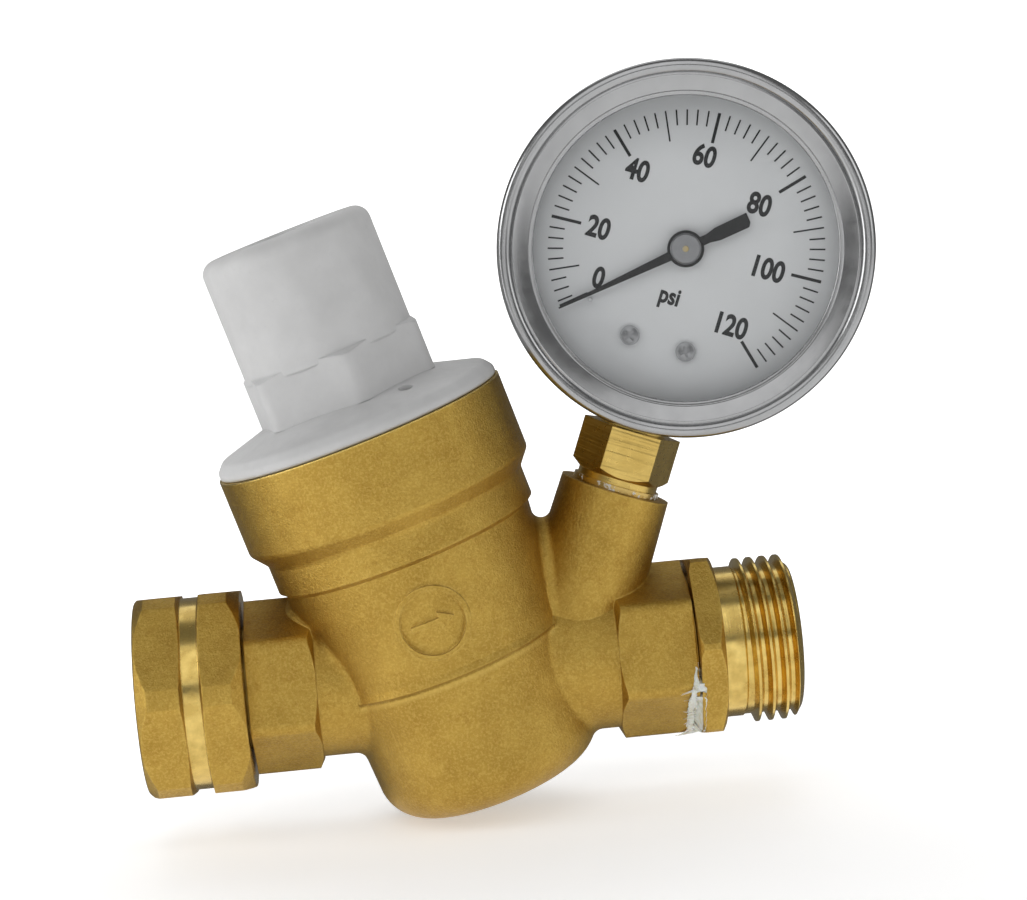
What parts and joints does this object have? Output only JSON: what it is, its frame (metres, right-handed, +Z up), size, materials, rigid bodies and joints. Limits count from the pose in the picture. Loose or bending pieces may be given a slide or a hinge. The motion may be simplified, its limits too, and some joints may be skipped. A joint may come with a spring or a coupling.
{
  "type": "pressure reducing valve",
  "caption": "Adjustable water pressure reducing valve: forged brass body, leaning white spring housing, dial pressure gauge, hose-thread swivel inlet and male hose-thread outlet.",
  "frame": {"origin": "centre of the inlet swivel nut's mouth, on the run axis", "axes": "+X along the flow from inlet to outlet, +Z up, the gauge reads towards -Y"},
  "size_m": [0.1237, 0.0482, 0.1184],
  "materials": {
    "forged_brass": "blasted forged brass",
    "machined_brass": "machined brass",
    "white_plastic": "moulded white plastic",
    "rubber": "black moulded rubber",
    "stainless": "polished stainless steel",
    "spring_steel": "drawn spring wire",
    "window": "clear window",
    "dial_face": "pale printed dial plate",
    "black_paint": "black paint",
    "plated_steel": "zinc-plated steel",
    "ptfe_tape": "thread-seal tape",
    "bronze": "phosphor bronze",
    "black_plastic": "black moulded plastic"
  },
  "bodies": {
    "valve": {"valve_body": "forged_brass", "inlet_tailpiece": "machined_brass", "inlet_washer": "rubber", "inlet_screen": "plated_steel", "outlet_adapter": "forged_brass", "outlet_thread_tape": "ptfe_tape", "seat_ring": "machined_brass", "seat_seal": "rubber", "diaphragm": "rubber", "slip_ring": "black_plastic", "spring_housing": "white_plastic", "range_spring": "spring_steel", "gauge_socket": "machined_brass", "gauge_thread_tape": "ptfe_tape", "gauge_case": "plated_steel", "relief_plug": "rubber", "gauge_bezel": "stainless", "window_gasket": "rubber", "gauge_window": "window", "gauge_dial": "dial_face", "stop_pin": "plated_steel", "dial_screws": "plated_steel", "dial_posts": "machined_brass", "movement_back_plate": "machined_brass", "movement_front_plate": "machined_brass", "movement_pillars": "machined_brass", "movement_screws": "plated_steel", "hairspring": "bronze", "bourdon_tube": "bronze"},
    "swivel_nut": {"inlet_swivel_nut": "forged_brass"},
    "spring_button": {"spring_button": "plated_steel"},
    "adjusting_screw": {"adjusting_screw": "white_plastic"},
    "valve_stem": {"valve_stem": "machined_brass", "valve_disc": "rubber", "disc_retainer": "plated_steel", "diaphragm_washer": "machined_brass", "spring_seat": "machined_brass", "stem_nut": "machined_brass"},
    "sector": {"sector_gear": "machined_brass"},
    "pointer": {"pointer": "black_paint", "pointer_hub": "plated_steel", "pinion_arbor": "machined_brass"},
    "link": {"movement_link": "machined_brass"},
    "tube_tip": {"tube_tip": "machined_brass"}
  },
  "joints": [
    {"name": "swivel_nut_spin", "type": "hinge", "parent": "valve", "child": "swivel_nut", "pos_m": [0.00855, 0, 0], "axis": [1, 0, 0], "continuous": true},
    {"name": "screw_turn", "type": "hinge", "parent": "spring_button", "child": "adjusting_screw", "pos_m": [0.0334, 0, 0.0595], "axis": [0.2837, 0, -0.9589], "range_deg": [0, 1800.01]},
    {"name": "button_slide", "type": "slide", "parent": "valve", "child": "spring_button", "axis": [0.2837, 0, -0.9589], "range_m": [0, 0.0075], "deforming": ["range_spring"]},
    {"name": "stem_lift", "type": "slide", "parent": "valve", "child": "valve_stem", "axis": [-0.2837, 0, 0.9589], "range_m": [0, 0.0014], "deforming": ["diaphragm"]},
    {"name": "sector_swing", "type": "hinge", "parent": "valve", "child": "sector", "pos_m": [0.08932, 0.00148, 0.05211], "axis": [-0.1458, -0.9877, 0.0567], "range_deg": [0, 33.75]},
    {"name": "pointer_sweep", "type": "hinge", "parent": "valve", "child": "pointer", "pos_m": [0.09421, 0.00148, 0.06469], "axis": [0.1458, 0.9877, -0.0567], "range_deg": [0, 270], "deforming": ["hairspring"]},
    {"name": "link_swing", "type": "hinge", "parent": "sector", "child": "link", "pos_m": [0.08588, 0.00174, 0.04769], "axis": [-0.1458, -0.9877, 0.0567], "range_deg": [-33.75, 0]},
    {"name": "tip_shift", "type": "slide", "parent": "valve", "child": "tube_tip", "axis": [0.9205, -0.1564, -0.358], "range_m": [0, 0.00325], "deforming": ["bourdon_tube"]}
  ],
  "couplings": [
    {"joint": "screw_turn", "follows": "button_slide", "rad_per_m": 4188.8},
    {"joint": "pointer_sweep", "follows": "sector_swing", "ratio": 8},
    {"joint": "link_swing", "follows": "sector_swing", "ratio": -1},
    {"joint": "tip_shift", "follows": "sector_swing", "m_per_rad": 0.0055194}
  ]
}
